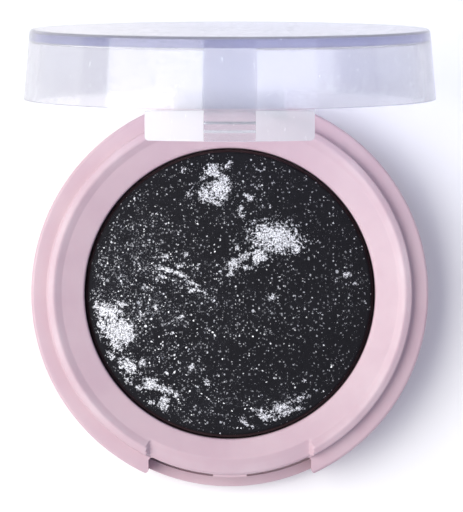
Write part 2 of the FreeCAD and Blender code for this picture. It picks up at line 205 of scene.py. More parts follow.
clearPlastic = {
    "colour": (0.835, 0.835, 0.85),
    "shadowColour": (0.80, 0.82, 0.90),
    "roughness": (0.07, 0.15),
    "waveSize": 9 * mm,
    "waveHeight": 0.02 * mm,
    "dustSize": 0.8 * mm,
    "scratches": [(1.1 * mm, 0.04, (0.3, 0.0, 0.5)), (1.6 * mm, 0.05, (0.0, 0.5, -0.8))],
    "specular": 0.32,
    "depthColour": (0.42, 0.44, 0.74),
    "depthDensity": 34.0,
    "hazeAndReflectionColour": (0.90, 0.90, 0.90),
    "haze": 0.10,                  # share of cloudy surface on the walls
    # extra white haze on the plate, in streaks: painted reflection
    "plateReflectionHaze": 0.05,
    "reflectionStreakSize": 7 * mm,          # of the faint streaks of painted reflection in the plate's haze
    "tabReflectionHaze": (0.44, 0.06, 0.30),         # white haze of the left, middle and right part of the tab: painted reflection of the soft boxes, strongest on the left
    "tabMiddle": 3.1 * mm,
    "plateLean": 0.0893,           # how far the open plate leans forward for its height
    "plateSide": (34.2 * mm, 34.5 * mm),   # the round plate lies beyond this distance
    "tabEdge": 22.6 * mm,          # the tab lies on this side of the rim, above tabFoot
    "tabFoot": 40 * mm,
}


def makeClearPlastic(name, look):
    material, tree = startMaterial(name)
    place = objectPlace(tree)
    waves = cloud(tree, place, look["waveSize"], detail=1.0)[0]
    dust = cloud(tree, place, look["dustSize"], detail=3.0)[0]
    scratches = scratchMarks(tree, place, look["scratches"])
    scratches = calc(tree, "MULTIPLY", scratches, fit(tree, dust, 0.5, 0.7))
    low, high = look["roughness"]
    rough = fit(tree, dust, 0.35, 0.7, low, high)
    rough = calc(tree, "MULTIPLY_ADD", scratches, 0.15, rough, clamp=True)
    normal = bumps(tree, waves, look["waveHeight"])
    dimmer = [c * 0.985 for c in look["colour"]]
    tint = mixColours(tree, fit(tree, waves, 0.3, 0.7), dimmer, look["colour"])
    shader = addNode(tree, "BsdfPrincipled", {
        "Base Color": tint,
        "Roughness": rough,
        "IOR": 1.49,
        "Specular IOR Level": look["specular"],
        "Transmission Weight": 1.0,
        "Normal": normal,
    })
    parts = addNode(tree, "SeparateXYZ", {0: place}).outputs
    beyond = calc(tree, "MULTIPLY_ADD", parts[2], look["plateLean"], parts[1])
    onPlate = fit(tree, beyond, *look["plateSide"])
    pastRim = fit(tree, parts[1], look["tabEdge"] - 0.3 * mm, look["tabEdge"], 1.0, 0.0)
    onTab = calc(tree, "MULTIPLY", pastRim, calc(tree, "GREATER_THAN", parts[2], look["tabFoot"]))
    # Painted reflection: extra white haze in streaks on the plate stands in for the soft boxes'
    # reflections.
    drawn = cloud(tree, moved(tree, place, scale=(0.5, 1.0, 1.0)), look["reflectionStreakSize"], detail=2.0)[0]
    reflectionStreaks = fit(tree, drawn, 0.36, 0.68, 0.7, 1.3)
    # Painted reflection: the tab gets white haze by side, most on its left half, where the left soft
    # box would be mirrored.
    left, centre, right = look["tabReflectionHaze"]
    middle = look["tabMiddle"]
    tabReflectionShare = calc(tree, "ADD",
                    fit(tree, parts[0], -middle - 0.1 * mm, -middle, left, centre),
                    fit(tree, parts[0], middle, middle + 0.1 * mm, 0.0, right - centre))
    share = calc(tree, "MULTIPLY", onPlate, reflectionStreaks)
    share = calc(tree, "MULTIPLY_ADD", share, look["plateReflectionHaze"], look["haze"])
    share = calc(tree, "MULTIPLY_ADD", onTab, tabReflectionShare, share)
    share = calc(tree, "MULTIPLY_ADD", scratches, 0.10, share, clamp=True)
    # This white haze is partly the lid's own milkiness and partly painted reflection on the plate and
    # tab.
    cloudy = addNode(tree, "BsdfDiffuse", {"Color": (*look["hazeAndReflectionColour"], 1.0), "Roughness": 0.5})
    glowing = addNode(tree, "BsdfTranslucent", {"Color": (*look["hazeAndReflectionColour"], 1.0)})
    milkyHazeAndReflection = addNode(tree, "MixShader", {0: 0.35, 1: cloudy.outputs[0], 2: glowing.outputs[0]})
    hazeAndReflectionMix = addNode(tree, "MixShader", {0: share, 1: shader.outputs[0], 2: milkyHazeAndReflection.outputs[0]})
    through = addNode(tree, "BsdfTransparent", {"Color": (*look["shadowColour"], 1.0)})
    path = addNode(tree, "LightPath")
    mixed = addNode(tree, "MixShader", {0: path.outputs["Is Shadow Ray"],
                                        1: hazeAndReflectionMix.outputs[0], 2: through.outputs[0]})
    depth = addNode(tree, "VolumeAbsorption", {"Color": (*look["depthColour"], 1.0),
                                               "Density": look["depthDensity"]})
    addNode(tree, "OutputMaterial", {"Surface": mixed.outputs[0], "Volume": depth.outputs[0]})
    return material


# Hidden parts: clay dish, glue pad, label, pin.

firedClay = {"colour": (0.36, 0.16, 0.10), "dark": (0.20, 0.08, 0.06), "sooty": (0.035, 0.012, 0.016)}
gluePad = {"colour": (0.72, 0.66, 0.52), "edge": (0.55, 0.47, 0.33)}
labelPaper = {"colour": (0.83, 0.81, 0.80), "fibre": (0.74, 0.72, 0.72)}
pinSteel = {"colour": (0.62, 0.62, 0.64), "dark": (0.42, 0.41, 0.43)}


def makeFiredClay(name, look, rimHeight):
    material, tree = startMaterial(name)
    place = objectPlace(tree)
    lumps = cloud(tree, place, 2.5 * mm, detail=5.0, roughness=0.65)[0]
    pits = cells(tree, place, 0.45 * mm)[0]
    base = mixColours(tree, fit(tree, lumps, 0.3, 0.7), look["dark"], look["colour"])
    height = addNode(tree, "SeparateXYZ", {0: place}).outputs[2]
    dusty = fit(tree, calc(tree, "MULTIPLY_ADD", lumps, 0.5 * mm, height),
                rimHeight - 1.6 * mm, rimHeight - 0.3 * mm)
    base = mixColours(tree, dusty, base, look["sooty"])
    rough = fit(tree, lumps, 0.3, 0.7, 0.75, 0.92)
    normal = bumps(tree, calc(tree, "MULTIPLY_ADD", lumps, 0.7, pits), 0.05 * mm)
    shader = addNode(tree, "BsdfPrincipled", {"Base Color": base, "Roughness": rough, "Normal": normal})
    finishMaterial(tree, shader.outputs[0])
    return material


def makeGluePad(name, look):
    material, tree = startMaterial(name)
    place = objectPlace(tree)
    runs = cloud(tree, place, 3 * mm, detail=4.0, distortion=0.6)[0]
    base = mixColours(tree, fit(tree, runs, 0.35, 0.65), look["edge"], look["colour"])
    rough = fit(tree, runs, 0.3, 0.7, 0.22, 0.45)
    shader = addNode(tree, "BsdfPrincipled", {
        "Base Color": base, "Roughness": rough, "Subsurface Weight": 0.3,
        "Subsurface Scale": 0.3 * mm, "Normal": bumps(tree, runs, 0.08 * mm)})
    finishMaterial(tree, shader.outputs[0])
    return material


def makeLabelPaper(name, look):
    material, tree = startMaterial(name)
    place = objectPlace(tree)
    weave = cloud(tree, moved(tree, place, scale=(1.0, 0.25, 1.0)), 0.25 * mm, detail=4.0)[0]
    stains = cloud(tree, place, 6 * mm, detail=3.0)[0]
    base = mixColours(tree, fit(tree, weave, 0.35, 0.65), look["fibre"], look["colour"])
    base = mixColours(tree, fit(tree, stains, 0.5, 0.8, 0.0, 0.25), base, (0.70, 0.64, 0.60))
    rough = fit(tree, weave, 0.3, 0.7, 0.6, 0.8)
    shader = addNode(tree, "BsdfPrincipled", {"Base Color": base, "Roughness": rough,
                                              "Normal": bumps(tree, weave, 0.01 * mm)})
    finishMaterial(tree, shader.outputs[0])
    return material


def makePinSteel(name, look):
    material, tree = startMaterial(name)
    place = objectPlace(tree)
    drawn = cloud(tree, moved(tree, place, scale=(0.04, 1.0, 1.0)), 0.06 * mm, detail=3.0)[0]
    spots = cloud(tree, place, 1.5 * mm, detail=3.0)[0]
    base = mixColours(tree, fit(tree, spots, 0.4, 0.7), look["dark"], look["colour"])
    rough = fit(tree, drawn, 0.3, 0.7, 0.22, 0.4)
    shader = addNode(tree, "BsdfPrincipled", {"Base Color": base, "Metallic": 1.0, "Roughness": rough,
                                              "Normal": bumps(tree, drawn, 0.004 * mm)})
    finishMaterial(tree, shader.outputs[0])
    return material


# Baked powder: a turned dome with a grainy crust and rubbed silver patches.

powderCake = {
    "turns": 560,                  # steps round the dome
    "ringGap": 0.165 * mm,         # between the rings of its top
    "rise": 2.2 * mm,              # of the dome above its shoulder
    "edgeRounding": 0.45 * mm,
    "edgeTurn": 84,                # degrees from the top round to the side
    "edgeSteps": 5,
    "sideDrop": 0.7 * mm,          # the upright side starts this far below the shoulder
    "footInset": 0.5 * mm,         # the foot fits inside the dish's rim
    "bareEdge": 0.25 * mm,         # crust and glitter stop here and fade in over fadeWidth
    "fadeWidth": 0.6 * mm,
    "foilSpread": 1.4,
    "grainSize": 0.35 * mm,
    "grainHeight": 0.09 * mm,
    "waveSize": 2.4 * mm,
    "waveHeight": 0.10 * mm,
    "flakeSize": 0.56 * mm,
    "foilHeight": 0.07 * mm,
}

# Silver patches: x and y of the middle, the two half widths and the turn in degrees, and how solid.
foilPatches = [
    (-2.3, 16.0, 1.2, 1.1, 20, 0.85), (-1.2, 13.8, 1.1, 1.3, 0, 1.15),
    (-3.1, 13.0, 1.3, 1.1, 40, 0.8), (-1.8, 11.9, 1.1, 0.4, -15, 0.8),
    (-6.1, 16.1, 0.5, 0.4, 0, 0.7), (-5.4, 12.9, 0.5, 0.5, 0, 0.65),
    (-0.3, 16.6, 0.7, 0.4, 10, 0.75), (0.1, 17.1, 0.4, 0.3, 0, 0.8),
    (2.2, 12.8, 0.6, 0.35, -50, 0.8), (1.4, 11.1, 0.5, 0.5, 0, 0.75), (1.6, 10.1, 0.4, 0.3, 0, 0.7),
    (2.7, 12.3, 0.4, 0.3, 0, 0.75), (5.9, 7.3, 3.0, 1.8, -6, 1.0), (3.7, 4.9, 1.1, 0.8, 45, 1.0),
    (8.6, 6.0, 0.9, 0.7, -35, 0.95), (2.0, 4.9, 0.9, 0.5, 10, 0.85), (0.9, 6.0, 0.4, 0.5, 0, 0.75),
    (0.5, 3.9, 0.9, 0.7, 20, 0.9), (0.2, 2.6, 0.6, 0.4, 30, 0.8), (2.2, 3.4, 0.5, 0.3, 20, 0.85),
    (5.4, -0.5, 0.9, 0.35, 10, 0.7), (15.3, 2.4, 0.6, 0.35, 20, 0.9),
    (16.4, 1.3, 0.35, 0.2, -20, 0.9), (-7.8, 3.0, 1.6, 0.35, -14, 0.85),
    (-6.6, 2.6, 1.2, 0.3, -18, 0.95), (-4.7, 1.3, 1.2, 0.3, -22, 0.7),
    (-4.4, 0.4, 1.4, 0.5, -10, 0.65), (-9.0, 2.1, 0.7, 0.6, 0, 0.6),
    (-11.1, 0.8, 0.4, 0.4, 0, 0.75), (-5.8, 5.2, 0.5, 0.3, -30, 0.8),
    (-6.4, 3.7, 0.6, 0.3, 20, 0.75), (-8.6, 4.9, 0.8, 0.6, 0, 0.6),
    (-16.3, -2.3, 1.9, 1.0, -10, 0.95), (-14.1, -1.5, 0.6, 0.5, 0, 0.8),
    (-14.4, -4.9, 1.7, 1.4, -20, 1.2), (-16.8, -4.3, 1.1, 0.8, 0, 0.85),
    (-17.2, -5.7, 0.4, 0.6, 0, 0.8), (-15.0, -6.7, 1.1, 0.6, -40, 0.85),
    (-15.6, -8.1, 0.8, 0.6, -40, 0.8), (-13.2, -9.5, 1.4, 0.9, -35, 0.95),
    (-11.7, -9.2, 0.8, 0.4, 35, 0.85), (-14.8, -10.2, 0.9, 0.5, -45, 0.7),
    (-13.3, -11.4, 0.9, 0.4, -45, 0.65), (-10.4, -11.8, 1.0, 0.7, -20, 1.0),
    (-11.8, -12.2, 0.5, 0.3, 0, 0.8), (-8.4, -12.5, 1.3, 0.5, -15, 0.85),
    (-7.0, -13.2, 0.9, 0.4, -30, 0.7), (-8.5, -14.2, 1.1, 0.7, 60, 0.85),
    (-10.4, -14.4, 0.5, 0.4, 0, 0.75), (6.6, -14.9, 1.2, 0.55, 20, 0.95),
    (4.9, -16.1, 1.1, 0.5, -15, 0.9), (7.5, -15.5, 1.0, 0.4, 20, 0.85),
    (8.9, -13.7, 1.3, 0.6, 15, 0.65), (8.9, -15.0, 0.4, 0.3, 0, 0.9),
    (4.1, -15.3, 0.8, 0.25, -10, 0.75), (1.9, -16.8, 0.9, 0.3, -42, 0.85),
    (3.3, -17.6, 0.8, 0.3, -30, 0.7), (9.8, -11.4, 0.35, 0.25, 0, 0.8),
    (-3.0, -11.6, 0.4, 0.6, 15, 0.75), (-4.9, -9.5, 0.5, 0.5, 0, 0.7),
    (-9.6, -2.0, 0.25, 0.5, 0, 0.9), (-6.2, -3.0, 0.9, 0.35, 20, 0.6),
    (-7.6, -5.2, 0.45, 0.15, 0, 0.8), (-11.6, -2.8, 0.7, 0.6, 0, 0.6),
    (-8.3, -10.4, 0.25, 0.2, 0, 0.95),
]

# Loose glitter: how thick it lies everywhere, and middle, half widths and extra of each drift.
evenGlitter = 0.10
glitterDrifts = [
    (-14.5, 3.0, 6.0, 7.5, 0.55), (-12.0, -2.0, 7.0, 5.0, 0.45), (-9.0, 7.5, 5.5, 6.0, 0.30),
    (-7.0, -10.0, 9.0, 7.0, 0.35), (-3.0, 0.0, 8.0, 5.0, 0.28), (2.0, 12.5, 2.6, 4.5, 0.30),
    (0.0, -15.5, 8.0, 3.0, 0.25), (9.5, -2.2, 8.0, 2.2, 0.22), (15.0, 2.0, 3.0, 3.5, 0.20),
    (8.0, -14.0, 4.5, 2.5, 0.25), (6.0, 8.0, 6.0, 4.5, 0.12),
]


def lumpWeight(x, y, lumps):
    # strongest of the oval lumps at a point: full in the middle, nothing at twice the half width
    best = 0.0
    for cx, cy, wide, tall, turn, strength in lumps:
        dx, dy = x - cx * mm, y - cy * mm
        if abs(dx) > 6 * mm or abs(dy) > 6 * mm:
            continue
        c, s = math.cos(math.radians(turn)), math.sin(math.radians(turn))
        u, v = (dx * c + dy * s) / (wide * mm), (dy * c - dx * s) / (tall * mm)
        away = math.sqrt(u * u + v * v)
        best = max(best, strength * max(0.0, 1.0 - away / 2.0))
    return best


def driftWeight(x, y, drifts):
    total = evenGlitter
    for cx, cy, wide, tall, strength in drifts:
        u, v = (x / mm - cx) / wide, (y / mm - cy) / tall
        total += strength * math.exp(-(u * u + v * v))
    return min(total, 1.0)


def selectOnly(piece):
    bpy.ops.object.select_all(action="DESELECT")
    piece.select_set(True)
    bpy.context.view_layer.objects.active = piece


def turnProfile(name, profile, steps):
    # a single point is drawn along the profile, then the line is spun about the upright axis
    bpy.ops.object.select_all(action="DESELECT")
    bpy.ops.mesh.primitive_plane_add(size=0.001, location=(0, 0, 0))
    piece = bpy.context.active_object
    piece.name = piece.data.name = name
    bpy.ops.object.mode_set(mode="EDIT")
    bpy.ops.mesh.select_all(action="SELECT")
    bpy.ops.mesh.merge(type="CENTER")
    bpy.ops.transform.translate(value=(profile[0][0], 0, profile[0][1]))
    for (x, z), (nextX, nextZ) in zip(profile, profile[1:]):
        step = (nextX - x, 0, nextZ - z)
        bpy.ops.mesh.extrude_region_move(TRANSFORM_OT_translate={"value": step})
    bpy.ops.mesh.select_all(action="SELECT")
    bpy.ops.mesh.spin(steps=steps, angle=2 * math.pi, center=(0, 0, 0), axis=(0, 0, 1))
    bpy.ops.mesh.select_all(action="SELECT")
    bpy.ops.mesh.remove_doubles(threshold=0.002 * mm)
    bpy.ops.mesh.normals_make_consistent(inside=False)
    bpy.ops.object.mode_set(mode="OBJECT")
    return piece


# Deck frame: corners of its section as radius, height and rounding, all in millimetres.
deckShape = {
    "corners": [
        (25.85, 3.0, 0.0), (26.0, 7.5, 0.4), (23.8, 7.5, 0.2), (23.8, 8.8, 0.25), (22.95, 9.1, 0.6),
        (21.95, 8.65, 0.8), (19.0, 7.95, 0.35), (19.0, 1.4, 0.0), (20.1, 1.4, 0.0), (20.1, 7.0, 0.0),
        (21.95, 7.0, 0.0), (22.3, 6.3, 0.0), (24.3, 6.3, 0.0), (24.3, 3.0, 0.0),
    ],
    "landOuter": 5,                # numbers of the two corners that the land runs between
    "landInner": 6,
    "turns": 600,                  # steps round the frame
    "step": 0.5,                   # longest stretch of the section
    "ringStep": 0.13,              # the same on the raised ring, which is bent over the notch
    "ringFrom": (21.2, 7.9),       # radius and height from which that counts
    "notchHalf": 10.65,
    "notchWall": 23.7,
    "notchRounding": 0.5,
    "notchFlare": (3.65, 1.64),    # from the flange corner, out along the flange's edge
    "rampStart": 21.6,
    "rampEdge": 8.05,
    "rampLip": 0.32,
    "ringEnd": (10.35, 11.2),      # the raised ring climbs back between these half widths
    "ringRise": 1.25,
    "endBlend": (0.02, 0.2),       # blending of the climb, over the notch and at the ring's ends
    "notchBlock": (22.4, 24.9, 12.2),      # inner and outer radius and half width
    "hingeEars": (20.05, 25.7, 11.6),
    "blockHeights": (3.0, 7.2),
    "gapHalf": 7.6,                # gap for the lid's knuckle
    "gapFront": 20.8,
    "gapRoof": 5.95,
    "slotRadius": 23.8,            # slot in the flange, over the gap
    "slotFloor": 5.3,
    "bossHalf": 2.2,               # latch boss
    "bossReach": (23.2, 24.0),     # to its flat back and its rounded front
    "bossHeights": (6.55, 7.6),
}

# Clear of the compact on every side, for the cutting shapes.
outside = 30.0
below = -1.0
above = 12.0


def roundedOutline(corners, closed=True):
    # each rounding of the outline becomes a short arc
    points = []
    count = len(corners)
    for i, (x, y, radius) in enumerate(corners):
        here = Vector((x, y))
        if radius == 0.0:
            points.append((here.x * mm, here.y * mm))
            continue
        before = (Vector(corners[i - 1][:2]) - here).normalized()
        after = (Vector(corners[(i + 1) % count][:2]) - here).normalized()
        half = before.angle(after) / 2
        centre = here + (before + after).normalized() * radius / math.sin(half)
        start = (here + before * radius / math.tan(half) - centre).normalized()
        end = (here + after * radius / math.tan(half) - centre).normalized()
        steps = max(2, round(start.angle(end) / 0.22))
        for k in range(steps + 1):
            spot = centre + start.slerp(end, k / steps) * radius
            points.append((spot.x * mm, spot.y * mm))
    if closed:
        points.append(points[0])
    return points


def divided(points, longest):
    # the same outline with no stretch longer than this
    finer = [points[0]]
    for start, end in zip(points, points[1:]):
        steps = max(1, math.ceil(math.dist(start, end) / longest))
        for k in range(1, steps + 1):
            finer.append((start[0] + (end[0] - start[0]) * k / steps,
                          start[1] + (end[1] - start[1]) * k / steps))
    return finer


def sector(inner, outer, half, side):
    # plan of a piece of a ring with straight sides, in millimetres
    outline = []
    for radius, way in ((inner, 1), (outer, -1)):
        for k in range(21):
            x = way * half * (k / 10 - 1)
            outline.append((x, side * math.sqrt(radius ** 2 - x ** 2), 0.0))
    return outline


def raisedOutline(name, outline, low, high):
    # a point is drawn round the plan, the plan is filled and drawn up from low to high
    bpy.ops.object.select_all(action="DESELECT")
    bpy.ops.mesh.primitive_plane_add(size=0.001, location=(0, 0, 0))
    piece = bpy.context.active_object
    piece.name = piece.data.name = name
    bpy.ops.object.mode_set(mode="EDIT")
    bpy.ops.mesh.select_all(action="SELECT")
    bpy.ops.mesh.merge(type="CENTER")
    bpy.ops.transform.translate(value=(*outline[0], low * mm))
    for (x, y), (nextX, nextY) in zip(outline, outline[1:]):
        step = (nextX - x, nextY - y, 0)
        bpy.ops.mesh.extrude_region_move(TRANSFORM_OT_translate={"value": step})
    bpy.ops.mesh.select_all(action="SELECT")
    bpy.ops.mesh.remove_doubles(threshold=0.002 * mm)
    bpy.ops.mesh.edge_face_add()
    bpy.ops.mesh.extrude_region_move(TRANSFORM_OT_translate={"value": (0, 0, (high - low) * mm)})
    bpy.ops.mesh.select_all(action="SELECT")
    bpy.ops.mesh.normals_make_consistent(inside=False)
    bpy.ops.object.mode_set(mode="OBJECT")
    return piece


def addBlock(name, low, high):
    bpy.ops.object.select_all(action="DESELECT")
    middle = [(a + b) / 2 * mm for a, b in zip(low, high)]
    bpy.ops.mesh.primitive_cube_add(size=1, location=middle)
    block = bpy.context.active_object
    block.name = name
    bpy.ops.object.mode_set(mode="EDIT")
    bpy.ops.transform.resize(value=[(b - a) * mm for a, b in zip(low, high)], center_override=middle)
    bpy.ops.object.mode_set(mode="OBJECT")
    return block


def combine(piece, other, operation):
    modifier = piece.modifiers.new("cut", "BOOLEAN")
    modifier.object = other
    modifier.operation = operation
    modifier.solver = "EXACT"
    selectOnly(piece)
    bpy.ops.object.modifier_apply(modifier="cut")
    selectOnly(other)
    bpy.ops.object.delete()


def softLower(first, second, blend):
    # the lower of two heights, with the meeting line blended
    near = max(blend - abs(first - second), 0.0) / blend
    return min(first, second) - near * near * blend / 4


def sinkRing(piece, look):
    # over the notch the raised ring sinks into a gentle slope with a rounded lip
    outerX, outerZ = look["corners"][look["landOuter"]][:2]
    innerX, innerZ = look["corners"][look["landInner"]][:2]
    start = outerZ - (outerX - look["rampStart"]) * (outerZ - innerZ) / (outerX - innerX)
    slope = (start - look["rampEdge"]) / (look["notchWall"] - look["rampStart"])
    near, far = look["ringEnd"]
    blend, endBlend = look["endBlend"]
    lip = look["rampLip"]
    flange = look["corners"][2][1]
    for vertex in piece.data.vertices:
        x, y, z = (c / mm for c in vertex.co)
        reach = math.hypot(x, y)
        if y > 0 or abs(x) > far or reach < look["rampStart"] - 0.3 or z < flange + 0.05:
            continue
        share = min(1.0, max(0.0, (abs(x) - near) / (far - near)))
        share = share * share * (3 - 2 * share)
        over = min(lip, max(0.0, reach - (look["notchWall"] - lip)))
        height = start - (reach - look["rampStart"]) * slope
        height -= lip - math.sqrt(lip ** 2 - over ** 2)
        height += share * look["ringRise"]
        vertex.co.z = softLower(z, height, blend + endBlend * share) * mm


def finishMoulding(piece, body, node):
    selectOnly(piece)
    bpy.ops.object.mode_set(mode="EDIT")
    bpy.ops.mesh.select_all(action="SELECT")
    bpy.ops.mesh.remove_doubles(threshold=0.002 * mm)
    bpy.ops.mesh.normals_make_consistent(inside=False)
    bpy.ops.object.mode_set(mode="OBJECT")
    bpy.ops.object.shade_smooth_by_angle(angle=math.radians(32))
    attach(piece, body)
    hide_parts(node)
    return piece


def deckSection(look):
    # the section is drawn more finely where it rises into the ring
    profile = divided(roundedOutline(look["corners"]), look["step"] * mm)
    radius, height = look["ringFrom"]
    ring = [i for i, (x, z) in enumerate(profile) if x > radius * mm and z > height * mm]
    first, last = ring[0], ring[-1] + 1
    fine = divided(profile[first:last], look["ringStep"] * mm)
    return profile[:first] + fine + profile[last:]


def notchPlan(look):
    # both sides of the notch with their rounded corners, and the wall between them
    half, wall, rounding = look["notchHalf"], look["notchWall"], look["notchRounding"]
    widest = look["corners"][1][0] + 0.05
    innerY = -math.sqrt(wall ** 2 - half ** 2)
    outerY = -math.sqrt(widest ** 2 - half ** 2)
    out, up = look["notchFlare"]
    right = [(half, innerY, rounding), (half, outerY, rounding), (half + out, outerY + up, 0.0),
             (half + out, -outside, 0.0)]
    left = [(-x, y, rounding) for x, y, rounding in reversed(right)]
    wallPoints = [(x, -math.sqrt(wall ** 2 - x ** 2), 0.0) for x in range(-9, 10)]
    return right + left + wallPoints


def bossPlan(look):
    half = look["bossHalf"]
    back, front = look["bossReach"]
    across = [half * k / 2 for k in range(-2, 3)]
    outline = [(x, -math.sqrt(front ** 2 - x ** 2), 0.0) for x in across]
    return outline + [(half, -back, 0.0), (-half, -back, 0.0)]


def addPinBore():
    low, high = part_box("hinge_pin")
    bpy.ops.object.select_all(action="DESELECT")
    bpy.ops.mesh.primitive_cylinder_add(
        vertices=64, radius=(high.z - low.z) / 2, depth=high.x - low.x,
        location=(low + high) / 2, rotation=(0, math.pi / 2, 0))
    return bpy.context.active_object


def makeDeckFrame(look):
    piece = turnProfile("deckFrame", deckSection(look), look["turns"])
    sinkRing(piece, look)
    for name, side in (("notchBlock", -1), ("hingeEars", 1)):
        plan = roundedOutline(sector(*look[name], side))
        combine(piece, raisedOutline(name, plan, *look["blockHeights"]), "UNION")
    notch = roundedOutline(notchPlan(look))
    combine(piece, raisedOutline("notchCutter", notch, below, above), "DIFFERENCE")
    half = look["gapHalf"]
    gap = addBlock("hingeGap", (-half, look["gapFront"], below), (half, outside, look["gapRoof"]))
    combine(piece, gap, "DIFFERENCE")
    slot = roundedOutline(sector(look["slotRadius"], outside, half, 1))
    combine(piece, raisedOutline("webSlot", slot, look["slotFloor"], above), "DIFFERENCE")
    combine(piece, addPinBore(), "DIFFERENCE")
    boss = roundedOutline(bossPlan(look))
    combine(piece, raisedOutline("latchBoss", boss, *look["bossHeights"]), "UNION")
    return finishMoulding(piece, "base", "deck_frame")


# Base shell: the same kind of section, with a narrow groove where the deck frame's notch wall stands.
shellShape = {
    "corners": [
        (0.0, 0.15, 0.0), (17.0, 0.15, 0.0), (17.0, 0.0, 0.0), (20.5, 0.0, 0.3), (24.6, 0.9, 2.2),
        (25.5, 3.0, 0.12), (24.2, 3.0, 0.0), (24.2, 2.3, 0.0), (23.9, 2.3, 0.0), (23.9, 3.0, 0.0),
        (22.3, 3.0, 0.0), (22.3, 4.1, 0.0), (21.5, 4.1, 0.0), (21.5, 1.4, 0.0), (0.0, 1.4, 0.0),
    ],
    "turns": 360,
    "step": 2.0,
    "earRoom": (12.0, 17.3, 3.0),      # half width, front and floor of the room for the ears
}


def makeBaseShell(look):
    section = divided(roundedOutline(look["corners"], closed=False), look["step"] * mm)
    piece = turnProfile("baseShell", section, look["turns"])
    half, front, floor = look["earRoom"]
    combine(piece, addBlock("earRoom", (-half, front, floor), (half, outside, above)), "DIFFERENCE")
    half = deckShape["gapHalf"]
    gap = addBlock("shellGap", (-half, deckShape["gapFront"], below), (half, outside, above))
    combine(piece, gap, "DIFFERENCE")
    return finishMoulding(piece, "base", "base_shell")


def addDisplacement(piece, name, size, height, group):
    texture = bpy.data.textures.new(name, "CLOUDS")
    texture.noise_scale = size
    texture.noise_depth = 3
    modifier = piece.modifiers.new(name, "DISPLACE")
    modifier.texture = texture
    modifier.texture_coords = "LOCAL"
    modifier.direction = "Z"
    modifier.strength = height
    modifier.mid_level = 0.5
    modifier.vertex_group = group
    selectOnly(piece)
    bpy.ops.object.modifier_apply(modifier=name)


def makePowderCake(look):
    low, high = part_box("powder_cake")
    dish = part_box("baking_dish")[1]
    radius, top = high.x, high.z
    shoulder = top - look["rise"]
    curve = (radius ** 2 + look["rise"] ** 2) / (2 * look["rise"])
    edge = look["edgeRounding"]
    rings = round((radius - edge) / look["ringGap"])
    profile = [(0.0, top)]
    for i in range(1, rings + 1):
        r = (radius - edge) * i / rings
        profile.append((r, top - curve + math.sqrt(curve ** 2 - r ** 2)))
    startX, startZ = profile[-1]
    for i in range(1, look["edgeSteps"] + 1):
        turn = math.radians(look["edgeTurn"] * i / look["edgeSteps"])
        profile.append((startX + edge * math.sin(turn), startZ - edge * (1 - math.cos(turn))))
    foot = dish.x - look["footInset"]
    profile += [(radius, shoulder - look["sideDrop"]), (radius, dish.z), (foot, dish.z),
                (foot, low.z), (0.0, low.z)]
    cake = turnProfile("pressedPowder", profile, look["turns"])
    crust = cake.vertex_groups.new(name="crust")
    foil = cake.vertex_groups.new(name="foil")
    foilCover, glitterCover = [], []
    for vertex in cake.data.vertices:
        x, y, z = vertex.co
        reach = math.hypot(x, y)
        onTop = 1.0 if z > shoulder - 0.1 * mm and reach < radius - edge * 0.6 else 0.0
        inside = (radius - look["bareEdge"] - reach) / look["fadeWidth"]
        inside = max(0.0, min(1.0, inside))
        crust.add([vertex.index], onTop * inside, "REPLACE")
        cover = lumpWeight(x, y, foilPatches) if onTop else 0.0
        foil.add([vertex.index], min(1.0, cover * look["foilSpread"]) * inside, "REPLACE")
        foilCover.append(cover * inside)
        glitterCover.append(driftWeight(x, y, glitterDrifts) * inside * onTop)
    for name, values in (("foilCover", foilCover), ("glitterCover", glitterCover)):
        cake.data.attributes.new(name, "FLOAT", "POINT")
        cake.data.attributes[name].data.foreach_set("value", values)
    addDisplacement(cake, "waves", look["waveSize"], look["waveHeight"], "crust")
    addDisplacement(cake, "grains", look["grainSize"], look["grainHeight"], "crust")
    addDisplacement(cake, "flakes", look["flakeSize"], look["foilHeight"], "foil")
    cake.vertex_groups.clear()
    selectOnly(cake)
    bpy.ops.object.shade_smooth()
    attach(cake, "base")
    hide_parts("powder_cake")
    return cake


powderLook = {
    "black": (0.0085, 0.0083, 0.0105),
    "grey": (0.028, 0.028, 0.034),
    "silver": (0.80, 0.815, 0.85),
    "white": (0.97, 0.975, 1.0),
    # specks: cell size, share of cells that hold one without and with glitter, width, light
    "specks": [
        (0.25 * mm, (0.12, 0.48), 0.36, (0.12, 0.9)),
        (0.42 * mm, (0.03, 0.38), 0.25, (0.25, 1.0)),
        (1.0 * mm, (0.0, 0.18), 0.17, (0.4, 1.0)),
    ],
    "flakeSlant": 1.1,
    "tearSize": 0.17 * mm,         # lumps of the noise that tears the edges
    "tearReach": 0.36 * mm,
    "patchSize": 2.2 * mm,         # glitter lies in patches of this size
    "fineSize": 0.16 * mm,
    "crumbSize": 0.26 * mm,
    "foilGrain": 0.42 * mm,        # raggedness of the silver patches
    "holeCell": 0.34 * mm,         # dark grains that show through them
    "relief": 0.06 * mm,
}


def speckLayer(tree, place, cover, size, share, fill, light):
    # one speck in some of the cells: cover raises how many, fill is how much of a cell it takes
    found = cells(tree, place, size)
    lot = addNode(tree, "SeparateColor", {0: found[1]}).outputs
    chance = calc(tree, "MULTIPLY_ADD", cover, share[1], share[0])
    chosen = calc(tree, "LESS_THAN", lot[0], chance)
    width = calc(tree, "MULTIPLY_ADD", lot[1], fill, fill * 0.6)
    shape = fit(tree, found[0], calc(tree, "MULTIPLY", width, 0.8), width, 1.0, 0.0)
    dim, bright = light
    shine = calc(tree, "MULTIPLY_ADD", calc(tree, "POWER", lot[2], 2.0), bright - dim, dim)
    return calc(tree, "MULTIPLY", calc(tree, "MULTIPLY", chosen, shape), shine)


